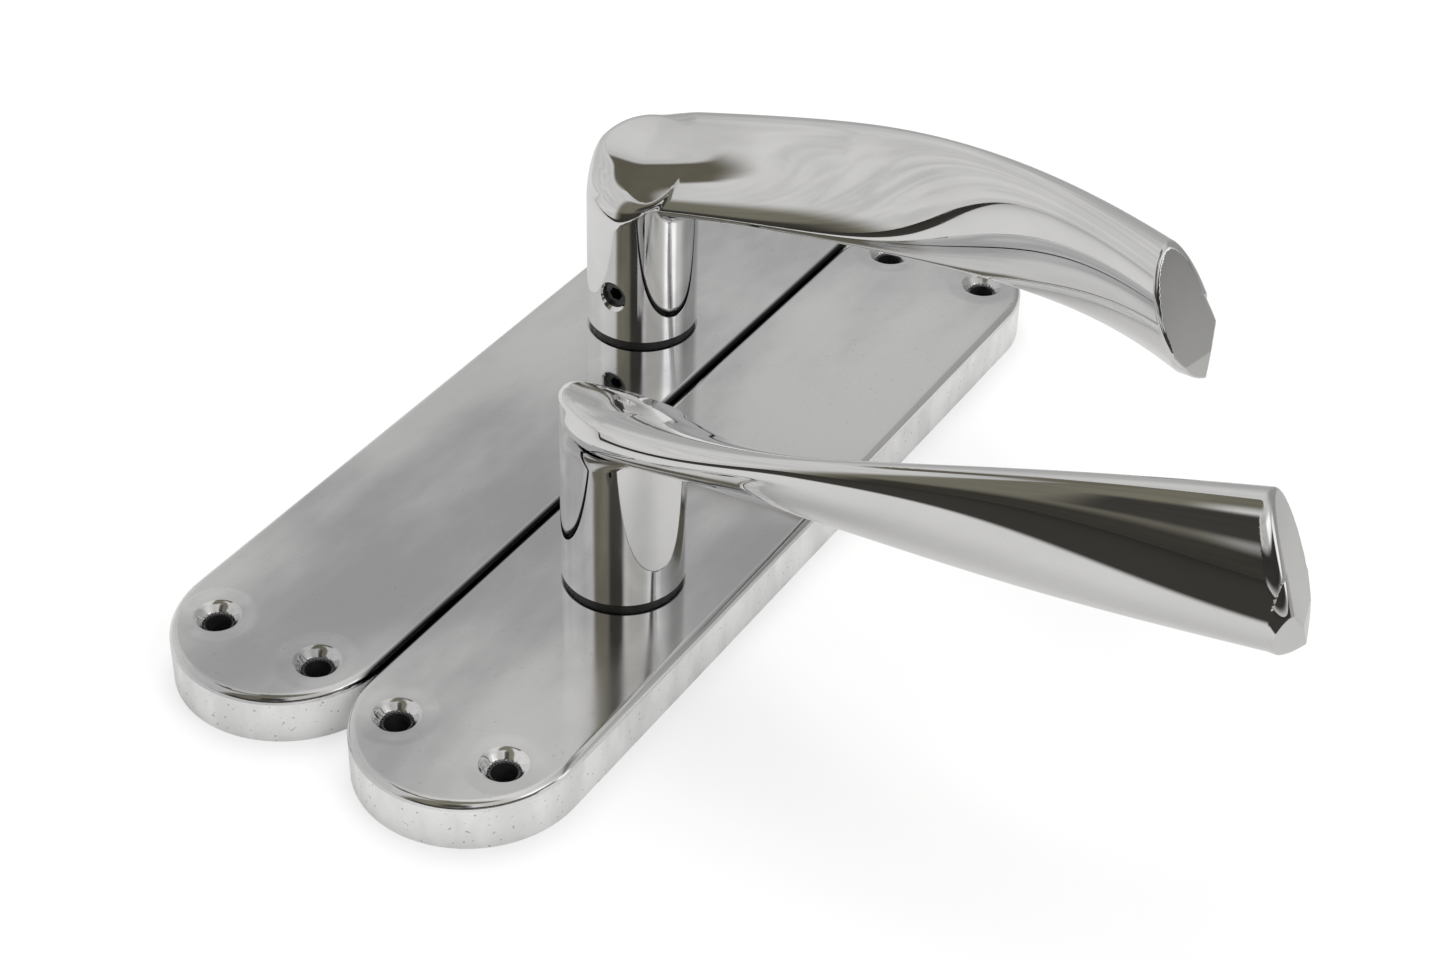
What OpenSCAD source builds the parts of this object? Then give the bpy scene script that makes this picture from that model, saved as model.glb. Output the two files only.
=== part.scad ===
/* [Backplate] */
// Width of a backplate, and the diameter of its round ends
plate_w = 40; // [36:1:50]
// Length of a backplate over its round ends
plate_l = 195; // [185:1:240]
// Height of a backplate's front face above the door
plate_t = 9.5; // [9:0.5:14]
// Radius of the rounded front edge
edge_r = 1.5; // [0.5:0.25:2]
// Thickness of the cast front face
face_t = 2.5; // [2:0.25:3]
// Thickness of the cast side walls
wall_t = 2; // [1.5:0.25:2.5]
// Distance from the plate's middle to the spindle
spindle_off = 32.4; // [20:0.1:45]
// Distance between the two screw holes at each end
hole_pitch_x = 21.3; // [18:0.1:24]
// Distance between the two pairs of screw holes
hole_pitch_y = 166.5; // [160:0.5:175]
// Diameter of the screw holes
hole_d = 4.5; // [4:0.1:5]
// Diameter of the countersinks at the front face
sink_d = 8.3; // [7:0.1:9.5]
// Thickness of the ribs across the hollow back
rib_t = 1.6; // [1:0.2:2.5]
// Ribs between the spring housing and the far screw holes
rib_count = 2; // [1:1:3]

/* [Lever] */
// Distance from the spindle to the tip
lever_l = 113.8; // [95:0.1:130]
// Diameter of the neck
neck_d = 21.6; // [20:0.2:24]
// Sideways place of the blade's middle at four equal steps from the spindle to the tip
blade_side = [-2.2, -6.9, -4, 6.3]; // [-20:0.1:20]
// Height of the blade's middle above the front face at the same four steps
blade_rise = [35.7, 40.8, 45.1, 46.5]; // [25:0.1:60]
// Half the blade's width at the same four steps
blade_half_w = [12.6, 11.2, 11.5, 12.9]; // [8:0.1:18]
// Twist of the blade at the same four steps, from upright
blade_twist = [72, 45, 7, -21]; // [-45:0.1:80]
// Bulge of the blade's outer side at the spindle, half way and the tip
bulge_out = [1.3, 3.6, 8.8]; // [1:0.1:10]
// Bulge of the blade's inner side at the spindle, half way and the tip
bulge_in = [6.3, 5.8, 6.3]; // [3:0.1:9]
// Slant of the flat tip, seen from the front of the door
tip_slant = 22.9; // [0:0.1:25]
// Slant of the flat tip, seen from above
tip_skew = 13.1; // [0:0.1:15]
// Radius that rounds the blade's inner side into the flat tip
tip_r = 3.3; // [1:0.1:5]
// Chamfer round the flat tip
tip_chamfer = 0.5; // [0.2:0.1:1]
// How much larger the chamfer grows at the lower corner of the tip
tip_corner = 3; // [0:0.5:5]
// Squareness of the blade's outer side at the spindle, where 2 is an ellipse
root_square = 3.5; // [2:0.1:4]
// Width of the square spindle that the socket takes
spindle_w = 8; // [7:0.5:8]
// Depth of the spindle socket from the door
socket_depth = 32; // [25:1:34]
// Diameter of the set screw that clamps the spindle
grub_d = 5; // [4:0.5:6]
// Length of the set screw
grub_l = 5; // [4:0.5:6]
// Height of the set screw above the front face
grub_rise = 10.5; // [8:0.5:14]

/* [Spring housing] */
// Diameter of the lever's spigot inside the bush
spigot_d = 16; // [15.5:0.1:16.5]
// Width of the spigot across its two flats
flats_w = 13.5; // [13:0.1:14]
// Wall of the nylon bush round the spigot
bush_wall = 1.5; // [1.2:0.1:1.8]
// Thickness of the bush's collar, which shows under the neck
collar_t = 1; // [0.8:0.1:1.5]
// Wall of the cast hub that holds the bush
hub_wall = 1; // [0.8:0.1:1.2]
// Wire diameter of the return spring
wire_d = 1.2; // [1:0.1:1.3]
// Thickness of the pressed drive plate, cover and tabs
sheet_t = 1; // [0.8:0.1:1.1]
// Thickness of the washer between the hub and the drive plate
washer_t = 0.4; // [0.3:0.05:0.5]
// Thickness of the retaining ring
ring_t = 0.65; // [0.5:0.05:0.7]
// Width of the drive plate's tabs and the spring post
tab_w = 3; // [2.5:0.1:3.5]
// Turn of the lever from rest to the stop on each side, in degrees
travel = 50; // [40:1:60]
// Thread diameter of the two cover screws
cover_screw_d = 2.5; // [2:0.1:3]
// Distance from the spindle to each cover screw
cover_screw_off = 21.5; // [21:0.1:23]

/* [Pair] */
// Gap between the two plates as they lie side by side
pair_gap = 0.3; // [0.2:0.1:20]
// How far the inside plate lies along from the outside one
pair_shift = 3.4; // [0:0.1:20]

/* [Hidden] */

$fn = 64;
eps = 0.01;          // overlap of a cut past the face it opens
gap = 0.05;          // clearance round shafts and between stacked plates
play = 0.1;          // clearance where faces slide

plate_r = plate_w / 2;
neck_r = neck_d / 2;
spigot_r = spigot_d / 2;
ceiling_z = plate_t - face_t;
straight_l = plate_l - plate_w;
cavity_r = plate_r - wall_t;

// Stack behind the front face, from the door outwards
spigot_end_z = 0.2;
ring_z = spigot_end_z + 0.45;
cover_z = 0.6;
cover_top_z = cover_z + sheet_t;
drive_z = cover_top_z + 0.15;
drive_top_z = drive_z + sheet_t;
wave_t = drive_z - ring_z - ring_t - 2 * gap;
washer_z = drive_top_z + gap;
hub_z = washer_z + washer_t + gap;
neck_z = plate_t + collar_t + play;

bush_in_r = spigot_r + gap;
bush_r = bush_in_r + bush_wall;
hub_in_r = bush_r + gap;
hub_r = hub_in_r + hub_wall;

// Return spring: two close turns round the hub, both ends pointing at the spring post
wire_r = wire_d / 2;
coil_r = hub_r + wire_r + 0.2;
coil_low_z = drive_top_z + 0.3 + wire_r;
coil_high_z = ceiling_z - play - wire_r;
coil_turns = 2;
leg_y = tab_w / 2 + play + wire_r;
post_x = coil_r + wire_r + 0.5;
post_t = 1.8;
tab_x = post_x + post_t + 0.5;
leg_x = tab_x + sheet_t + 0.3;

// Drive plate's stop ear, and the two stops in the casting
drive_r = hub_r + 1.6;
ear_x = cavity_r - 0.8;
ear_w = 4.8;
stop_x = ear_x - 2;
stop_w = 3;

cover_r = cavity_r - 0.5;
cover_hole_r = spigot_r + 2.6;
cover_lobe_r = cover_screw_d / 2 + 2.6;
screw_post_r = cover_screw_d / 2 + 1.6;
screw_head_r = cover_screw_d * 0.92;
screw_r = cover_screw_d / 2;
screw_end_z = ceiling_z - 0.8;

fix_post_r = sink_d / 2 + 0.8;
sink_h = (sink_d - hole_d) / 2;
housing_y = cover_screw_off + screw_post_r + 2;

socket_w = spindle_w + 2 * gap;
grub_z = plate_t + grub_rise;
grub_r = grub_d / 2;
grub_tip_y = socket_w / 2 + 0.3;
hex_w = grub_d / 2;

inside_x = -(plate_w + pair_gap);
inside_y = 2 * spindle_off + pair_shift;

chrome = [0.78, 0.78, 0.79];
zinc = [0.66, 0.67, 0.70];
steel = [0.45, 0.46, 0.48];
nylon = [0.05, 0.05, 0.05];

// ---- shapes used by several pieces ----

// A handle lies with its spindle on the Z axis and its lever along +X.
module outside() { children(); }
module inside() { translate([inside_x, inside_y, 0]) mirror([0, 1, 0]) children(); }

// Moves to the middle of the plate from the spindle
module from_middle() { translate([0, spindle_off, 0]) children(); }

module at_fixing_holes() {
    from_middle()
        for (x = [-1, 1], y = [-1, 1])
            translate([x * hole_pitch_x / 2, y * hole_pitch_y / 2, 0]) children();
}

module at_cover_screws() {
    for (y = [-1, 1]) translate([0, y * cover_screw_off, 0]) children();
}

module ring(outer_r, inner_r, h) {
    difference() {
        cylinder(r = outer_r, h = h);
        translate([0, 0, -eps]) cylinder(r = inner_r, h = h + 2 * eps);
    }
}

// Round bar with two flats facing +X and -X
module flatted_bar(r, w, h) {
    intersection() {
        cylinder(r = r, h = h);
        translate([-w / 2, -r - 1, 0]) cube([w, 2 * r + 2, h]);
    }
}

// ---- backplate ----

module edge_profile() {
    square([plate_r - edge_r, plate_t]);
    square([plate_r, plate_t - edge_r]);
    translate([plate_r - edge_r, plate_t - edge_r]) circle(r = edge_r);
}

module plate_blank() {
    from_middle() {
        for (y = [-1, 1])
            translate([0, y * straight_l / 2, 0]) rotate_extrude() intersection() {
                edge_profile();
                square([plate_r + 1, plate_t + 1]);
            }
        translate([0, straight_l / 2, 0]) rotate([90, 0, 0]) linear_extrude(straight_l)
            for (s = [0, 1]) mirror([s, 0]) edge_profile();
    }
}

module plate_hollow() {
    from_middle() {
        for (y = [-1, 1])
            translate([0, y * straight_l / 2, -1]) cylinder(r = cavity_r, h = ceiling_z + 1);
        translate([-cavity_r, -straight_l / 2, -1]) cube([2 * cavity_r, straight_l, ceiling_z + 1]);
    }
}

module cross_rib(y) {
    translate([-plate_r + wall_t / 2, y - rib_t / 2, 0])
        cube([plate_w - wall_t, rib_t, ceiling_z + face_t / 2]);
}

module plate_ribs() {
    cross_rib(-housing_y);
    far_y = spindle_off + hole_pitch_y / 2 - fix_post_r;
    for (i = [0 : rib_count]) cross_rib(housing_y + i * (far_y - housing_y) / (rib_count + 1));
}

module stop_block() {
    translate([stop_x, ear_w / 2 + play, cover_top_z + gap])
        cube([cavity_r - stop_x + wall_t / 2, stop_w, ceiling_z - cover_top_z + face_t / 2]);
}

module spring_housing() {
    translate([0, 0, hub_z]) cylinder(r = hub_r, h = ceiling_z - hub_z + face_t / 2);
    at_cover_screws() translate([0, 0, cover_top_z])
        cylinder(r = screw_post_r, h = ceiling_z - cover_top_z + face_t / 2);
    translate([-post_x - post_t, -tab_w / 2, drive_top_z + 0.25])
        cube([post_t, tab_w, ceiling_z - drive_top_z + face_t / 2 - 0.25]);
    for (s = [0, 1]) mirror([0, s, 0]) rotate([0, 0, travel]) stop_block();
}

module backplate() {
    color(chrome) difference() {
        union() {
            difference() { plate_blank(); plate_hollow(); }
            plate_ribs();
            spring_housing();
            at_fixing_holes() cylinder(r = fix_post_r, h = ceiling_z + face_t / 2);
        }
        translate([0, 0, -1]) cylinder(r = hub_in_r, h = plate_t + 2);
        at_fixing_holes() {
            translate([0, 0, -1]) cylinder(d = hole_d, h = plate_t + 2);
            translate([0, 0, plate_t - sink_h]) cylinder(d1 = hole_d, d2 = sink_d, h = sink_h);
            translate([0, 0, plate_t - eps]) cylinder(d = sink_d, h = 1);
        }
        at_cover_screws() translate([0, 0, cover_top_z - 1])
            cylinder(r = screw_r + gap, h = screw_end_z + 0.3 - cover_top_z + 1);
    }
}

// ---- lever ----

// Smooth curve through four values at equal steps, and through three
function through4(v, s) =
    v[0] * (1 - 3 * s) * (1 - 1.5 * s) * (1 - s) + v[1] * 9 * s * (1 - 1.5 * s) * (1 - s)
    - v[2] * 4.5 * s * (1 - 3 * s) * (1 - s) + v[3] * s * (1 - 3 * s) * (1 - 1.5 * s);
function through3(v, s) =
    v[0] * (1 - 2 * s) * (1 - s) + v[1] * 4 * s * (1 - s) - v[2] * s * (1 - 2 * s);

// The blade closes in a half round over the neck
root_l = 12;
function root_round(x) =
    let (d = max(root_l - x, 0) / (root_l + neck_r + 0.6)) sqrt(max(1 - d * d, 0));

blade_sides = 32;
blade_steps = 30;
blade_start = -neck_r + 1.2;

// Share of the lever's length at x; past the end the section stays as it is
function share(x) = min(x / lever_l, 1);
function twist_at(x) = through4(blade_twist, share(x));
function across(x) = [-sin(twist_at(x)), cos(twist_at(x))];
function outward(x) = [cos(twist_at(x)), sin(twist_at(x))];
function middle_at(x) =
    [through4(blade_side, share(x)) * root_round(x), plate_t + through4(blade_rise, share(x))];
function half_w(x) = through4(blade_half_w, share(x)) * root_round(x);
function out_at(x) = through3(bulge_out, share(x)) * sqrt(root_round(x));
function in_at(x) = through3(bulge_in, share(x)) * sqrt(root_round(x));

// A sine or cosine at angle a, made squarer on the outer side towards the spindle
square_l = 40;
function squared(c, x, a) =
    let (t = min(max(x / square_l, 0), 1), fade = 1 - t * t * (3 - 2 * t),
         e = 2 + (sin(a) > 0 ? (root_square - 2) * fade : 0))
    sign(c) * pow(abs(c), 2 / e);

// One point of the blade's section at distance x, at angle a round it.
// inset draws the whole section in, and inner_cut takes only from its inner side.
function blade_yz(x, a, inset = 0, inner_cut = 0) =
    middle_at(x) + across(x) * (half_w(x) - inset) * squared(cos(a), x, a)
    + outward(x) * squared(sin(a), x, a)
    * (sin(a) > 0 ? out_at(x) - inset : in_at(x) - inner_cut - inset);

// The flat tip leans in both directions through the end of the lever
function tip_x(p) =
    lever_l - (p[0] - middle_at(lever_l)[0]) * tan(tip_skew)
    - (p[1] - middle_at(lever_l)[1]) * tan(tip_slant);

// Rings run round the blade seen from its tip, so that its faces point outwards
function blade_ring(x) = [for (i = [0 : blade_sides - 1])
    let (p = blade_yz(x, -360 * i / blade_sides)) [x, p[0], p[1]]];
function tip_ring(back, inset) = [for (i = [0 : blade_sides - 1])
    let (a = -360 * i / blade_sides, r = tip_r - min(back, tip_r),
         bevel = tip_chamfer + tip_corner * pow(max(-cos(a), 0), 6),
         x = tip_x(blade_yz(lever_l, a)) - back - (1 - inset) * bevel,
         p = blade_yz(x, a, inset * bevel, tip_r - sqrt(tip_r * tip_r - r * r)))
    [x, p[0], p[1]]];

module blade() {
    last_x = lever_l - blade_half_w[3] * tan(tip_slant) - tip_r - tip_corner - 2;
    rings = concat(
        [for (i = [0 : blade_steps])
            blade_ring(blade_start + (last_x - blade_start) * i / blade_steps)],
        [for (t = [1, 0.7, 0.4, 0.1]) tip_ring(tip_r * t, 0)],
        [tip_ring(0, 1)]);
    n = blade_sides;
    m = len(rings);
    polyhedron(
        points = [for (r = rings) for (p = r) p],
        faces = concat(
            [[for (i = [0 : n - 1]) i]],
            [for (k = [0 : m - 2]) for (i = [0 : n - 1]) for (t = [0, 1])
                let (a = k * n + i, b = k * n + (i + 1) % n, c = b + n, d = a + n)
                t == 0 ? [a, d, b] : [b, d, c]],
            [[for (i = [n - 1 : -1 : 0]) (m - 1) * n + i]]));
}

// Everything under the slanting flat that finishes the top of the neck
module under_flat() {
    reach = neck_r + 4;
    steps = 8;
    function flat_z(x, y) =
        let (p = middle_at(x) + outward(x) * out_at(max(x, 0)))
        p[1] - (y - p[0]) / tan(twist_at(x));
    xs = [for (i = [0 : steps]) -reach + 2 * reach * i / steps];
    points = [for (x = xs) for (p = [[x, -reach, 0], [x, reach, 0],
                                     [x, reach, flat_z(x, reach)], [x, -reach, flat_z(x, -reach)]]) p];
    polyhedron(points = points, faces = concat(
        [[0, 1, 2, 3]],
        [for (k = [0 : steps - 1]) for (i = [0 : 3]) for (t = [0, 1])
            let (a = k * 4 + i, b = k * 4 + (i + 1) % 4, c = b + 4, d = a + 4)
            t == 0 ? [a, d, b] : [b, d, c]],
        [[for (i = [3 : -1 : 0]) steps * 4 + i]]));
}

module lever() {
    color(chrome) difference() {
        union() {
            intersection() {
                translate([0, 0, neck_z]) cylinder(r = neck_r, h = 60);
                under_flat();
            }
            blade();
            translate([0, 0, hub_z - gap]) cylinder(r = spigot_r, h = neck_z - hub_z + 1);
            translate([0, 0, spigot_end_z])
                flatted_bar(spigot_r, flats_w, hub_z - spigot_end_z);
        }
        translate([0, 0, ring_z - gap]) ring(spigot_r + 1, spigot_r - 0.7, ring_t + 2 * gap);
        translate([-socket_w / 2, -socket_w / 2, -1])
            cube([socket_w, socket_w, socket_depth + 1]);
        translate([0, 0, grub_z]) rotate([-90, 0, 0]) cylinder(r = grub_r + gap, h = neck_r + 2);
    }
}

module grub_screw() {
    color(steel) translate([0, grub_tip_y, grub_z]) rotate([-90, 0, 0]) difference() {
        union() {
            cylinder(r1 = grub_r - 1, r2 = grub_r, h = 1);
            translate([0, 0, 1]) cylinder(r = grub_r, h = grub_l - 1);
        }
        translate([0, 0, grub_l / 2]) cylinder(d = hex_w / cos(30), h = grub_l, $fn = 6);
    }
}

// ---- bush, washers and retaining ring ----

module bush() {
    color(nylon) {
        translate([0, 0, hub_z]) ring(bush_r, bush_in_r, plate_t - hub_z + eps);
        translate([0, 0, plate_t]) ring(neck_r - 0.4, bush_in_r, collar_t);
    }
}

module thrust_washer() {
    color(zinc) translate([0, 0, washer_z]) ring(hub_r, spigot_r + play, washer_t);
}

module wave_washer() {
    color(steel) translate([0, 0, ring_z + ring_t + gap]) ring(spigot_r + 1.9, spigot_r + play, wave_t);
}

// Open ring with a pierced lug on each side of its gap
module circlip() {
    inner_r = spigot_r - 0.65;
    outer_r = spigot_r + 1.2;
    lug_r = 1.25;
    lug_turn = 14;
    color(steel) translate([0, 0, ring_z]) difference() {
        union() {
            difference() {
                ring(outer_r, inner_r, ring_t);
                linear_extrude(3 * ring_t, center = true)
                    polygon([[0, 0], [20 * cos(lug_turn), 20 * sin(lug_turn)],
                             [20 * cos(lug_turn), -20 * sin(lug_turn)]]);
            }
            for (s = [-1, 1]) rotate([0, 0, s * (lug_turn + 4)])
                translate([outer_r - 0.3, 0, 0]) cylinder(r = lug_r, h = ring_t);
        }
        for (s = [-1, 1]) rotate([0, 0, s * (lug_turn + 4)])
            translate([outer_r, 0, -1]) cylinder(r = 0.5, h = ring_t + 2);
    }
}

// ---- return spring ----

// Pressed disc on the spigot's flats: one tab turns the spring, one ear meets the stops
module drive_plate() {
    color(steel) difference() {
        union() {
            translate([0, 0, drive_z]) {
                cylinder(r = drive_r, h = sheet_t);
                translate([-tab_x - sheet_t, -tab_w / 2, 0]) cube([tab_x + sheet_t, tab_w, sheet_t]);
                translate([0, -ear_w / 2, 0]) cube([ear_x, ear_w, sheet_t]);
            }
            translate([-tab_x - sheet_t, -tab_w / 2, drive_z])
                cube([sheet_t, tab_w, ceiling_z - drive_z - 0.3]);
        }
        translate([0, 0, drive_z - 1]) flatted_bar(spigot_r + gap, flats_w + 2 * gap, sheet_t + 2);
    }
}

module return_spring() {
    sides = 10;
    steps = 72;
    lead = asin(leg_y / coil_r);
    turn = 360 * coil_turns - 2 * lead;
    // From the end of one leg, round the hub and out along the other leg
    function coil_point(i) =
        let (a = 180 + lead + turn * i / steps)
        [coil_r * cos(a), coil_r * sin(a), coil_low_z + (coil_high_z - coil_low_z) * i / steps];
    path = concat(
        [[-leg_x, -leg_y, coil_low_z], [-coil_r - wire_r, -leg_y, coil_low_z]],
        [for (i = [0 : steps]) coil_point(i)],
        [[-coil_r - wire_r, leg_y, coil_high_z], [-leg_x, leg_y, coil_high_z]]);
    n = len(path);
    function heading(k) =
        let (d = path[min(k + 1, n - 1)] - path[max(k - 1, 0)]) d / norm(d);
    function wire_ring(k) =
        let (t = heading(k), flat = norm([t[0], t[1]]),
             u = [-t[1] / flat, t[0] / flat, 0], w = cross(t, u))
        [for (j = [0 : sides - 1])
            path[k] + wire_r * (cos(360 * j / sides) * u + sin(360 * j / sides) * w)];
    color(zinc) polyhedron(
        points = [for (k = [0 : n - 1]) for (p = wire_ring(k)) p],
        faces = concat(
            [[for (j = [0 : sides - 1]) j]],
            [for (k = [0 : n - 2]) for (j = [0 : sides - 1]) for (t = [0, 1])
                let (a = k * sides + j, b = k * sides + (j + 1) % sides,
                     c = b + sides, d = a + sides)
                t == 0 ? [a, d, b] : [b, d, c]],
            [[for (j = [sides - 1 : -1 : 0]) (n - 1) * sides + j]]));
}

module spring_cover() {
    color(zinc) translate([0, 0, cover_z]) difference() {
        union() {
            cylinder(r = cover_r, h = sheet_t);
            at_cover_screws() cylinder(r = cover_lobe_r, h = sheet_t);
            translate([-cover_lobe_r, -cover_screw_off, 0])
                cube([2 * cover_lobe_r, 2 * cover_screw_off, sheet_t]);
        }
        translate([0, 0, -1]) cylinder(r = cover_hole_r, h = sheet_t + 2);
        at_cover_screws() {
            translate([0, 0, -1]) cylinder(r = screw_r + gap, h = sheet_t + 2);
            translate([0, 0, -eps])
                cylinder(r1 = screw_head_r + gap + eps, r2 = screw_r + gap, h = sheet_t + eps);
        }
    }
}

module cover_screws() {
    color(steel) at_cover_screws() difference() {
        union() {
            translate([0, 0, cover_z]) cylinder(r1 = screw_head_r, r2 = screw_r, h = sheet_t);
            translate([0, 0, cover_z + sheet_t / 2])
                cylinder(r = screw_r, h = screw_end_z - cover_z - sheet_t / 2);
        }
        for (a = [0, 90]) rotate([0, 0, a])
            translate([-screw_head_r * 0.7, -0.25, cover_z - 1]) cube([screw_head_r * 1.4, 0.5, 1.5]);
    }
}

// ---- the pair ----

outside() backplate();  // outside_backplate
outside() bush();  // outside_bush
outside() lever();  // outside_lever
outside() grub_screw();  // outside_grub_screw
outside() thrust_washer();  // outside_thrust_washer
outside() drive_plate();  // outside_drive_plate
outside() wave_washer();  // outside_wave_washer
outside() circlip();  // outside_circlip
outside() return_spring();  // outside_return_spring
outside() spring_cover();  // outside_spring_cover
outside() cover_screws();  // outside_cover_screws
inside() backplate();  // inside_backplate
inside() bush();  // inside_bush
inside() lever();  // inside_lever
inside() grub_screw();  // inside_grub_screw
inside() thrust_washer();  // inside_thrust_washer
inside() drive_plate();  // inside_drive_plate
inside() wave_washer();  // inside_wave_washer
inside() circlip();  // inside_circlip
inside() return_spring();  // inside_return_spring
inside() spring_cover();  // inside_spring_cover
inside() cover_screws();  // inside_cover_screws
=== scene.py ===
# A pair of sprung door lever handles on long backplates, dressed over the frame's solids.
import math

import bmesh
import bpy
import numpy as np
from mathutils import Euler, Matrix, Vector


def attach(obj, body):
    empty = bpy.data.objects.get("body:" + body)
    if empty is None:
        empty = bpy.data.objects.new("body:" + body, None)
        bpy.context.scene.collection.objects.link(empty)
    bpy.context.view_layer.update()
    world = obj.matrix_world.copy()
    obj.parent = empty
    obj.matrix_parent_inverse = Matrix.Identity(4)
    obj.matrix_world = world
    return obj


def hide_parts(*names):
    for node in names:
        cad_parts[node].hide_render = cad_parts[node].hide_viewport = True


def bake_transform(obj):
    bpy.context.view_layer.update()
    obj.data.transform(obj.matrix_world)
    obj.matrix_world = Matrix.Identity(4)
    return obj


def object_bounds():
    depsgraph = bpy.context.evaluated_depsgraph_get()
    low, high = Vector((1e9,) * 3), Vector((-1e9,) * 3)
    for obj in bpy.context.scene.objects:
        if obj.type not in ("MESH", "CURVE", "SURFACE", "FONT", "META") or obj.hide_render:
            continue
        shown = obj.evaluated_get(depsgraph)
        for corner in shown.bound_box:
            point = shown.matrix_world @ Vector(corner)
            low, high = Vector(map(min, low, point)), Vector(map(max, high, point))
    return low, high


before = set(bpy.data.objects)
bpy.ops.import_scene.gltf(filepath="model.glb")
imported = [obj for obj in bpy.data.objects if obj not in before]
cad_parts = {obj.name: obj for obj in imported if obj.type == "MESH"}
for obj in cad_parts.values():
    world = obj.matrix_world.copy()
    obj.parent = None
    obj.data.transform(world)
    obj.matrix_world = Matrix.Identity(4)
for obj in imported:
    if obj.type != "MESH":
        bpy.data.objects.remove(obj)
cadLow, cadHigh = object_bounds()
print("frame loaded:", len(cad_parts), "nodes")

mm = 0.001
handles = ("outside", "inside")
pair = {"insideAt": (-40.3, 68.2, 0.0)}  # the inside handle is the outside one mirrored across Y and set down here


def forHandle(handle, p):  # between a handle's own place and the shared frame, in millimetres
    return p if handle == "outside" else p * (1, -1, 1) + pair["insideAt"]


def linked(name, data):
    thing = bpy.data.objects.new(name, data)
    bpy.context.scene.collection.objects.link(thing)
    return thing


# The camera, in metres and degrees, its lens and sensor in millimetres.
shot = {
    "at": (0.19495, -0.29726, 0.30111),
    "azimuth": 30.56,
    "elevation": 37.4,
    "roll": 1.63,
    "lens": 65.87,
    "sensor": 36.0,
    "nearest": 0.01,
}
cameraData = bpy.data.cameras.new("shotCamera")
cameraData.lens = shot["lens"]
cameraData.sensor_width = shot["sensor"]
cameraData.clip_start = shot["nearest"]
camera = linked("shotCamera", cameraData)
turned = Euler((math.radians(90 - shot["elevation"]), 0, math.radians(shot["azimuth"]))).to_matrix()
turned = turned @ Matrix.Rotation(math.radians(shot["roll"]), 3, "Z")
camera.matrix_world = Matrix.Translation(shot["at"]) @ turned.to_4x4()
bpy.context.scene.camera = camera
bpy.context.scene.view_settings.view_transform = "Standard"
print("camera placed")


def newNode(tree, kind, inputs=None, **settings):
    node = tree.nodes.new(kind)
    for name, value in settings.items():
        setattr(node, name, value)
    for key, value in (inputs or {}).items():
        socket = node.inputs[key]
        if isinstance(value, bpy.types.NodeSocket):
            tree.links.new(value, socket)
        else:
            socket.default_value = value
    return node


def mathNode(tree, operation, a, b=0.0, c=0.0, clamp=False):
    return newNode(tree, "ShaderNodeMath", {0: a, 1: b, 2: c}, operation=operation, use_clamp=clamp).outputs[0]


def vectorNode(tree, operation, a, b):
    return newNode(tree, "ShaderNodeVectorMath", {0: a, 1: b}, operation=operation).outputs


def rampBetween(tree, value, low, high, toLow=0.0, toHigh=1.0):
    inputs = {0: value, 1: low, 2: high, 3: toLow, 4: toHigh}
    return newNode(tree, "ShaderNodeMapRange", inputs, interpolation_type="SMOOTHSTEP", clamp=True).outputs[0]


def mixColour(tree, share, a, b):
    a, b = (c if isinstance(c, bpy.types.NodeSocket) else (*c, 1) for c in (a, b))
    return newNode(tree, "ShaderNodeMix", {"Factor": share, "A": a, "B": b}, data_type="RGBA").outputs["Result"]


def mixShader(tree, share, a, b):
    return newNode(tree, "ShaderNodeMixShader", {0: share, 1: a, 2: b}).outputs[0]


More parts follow.
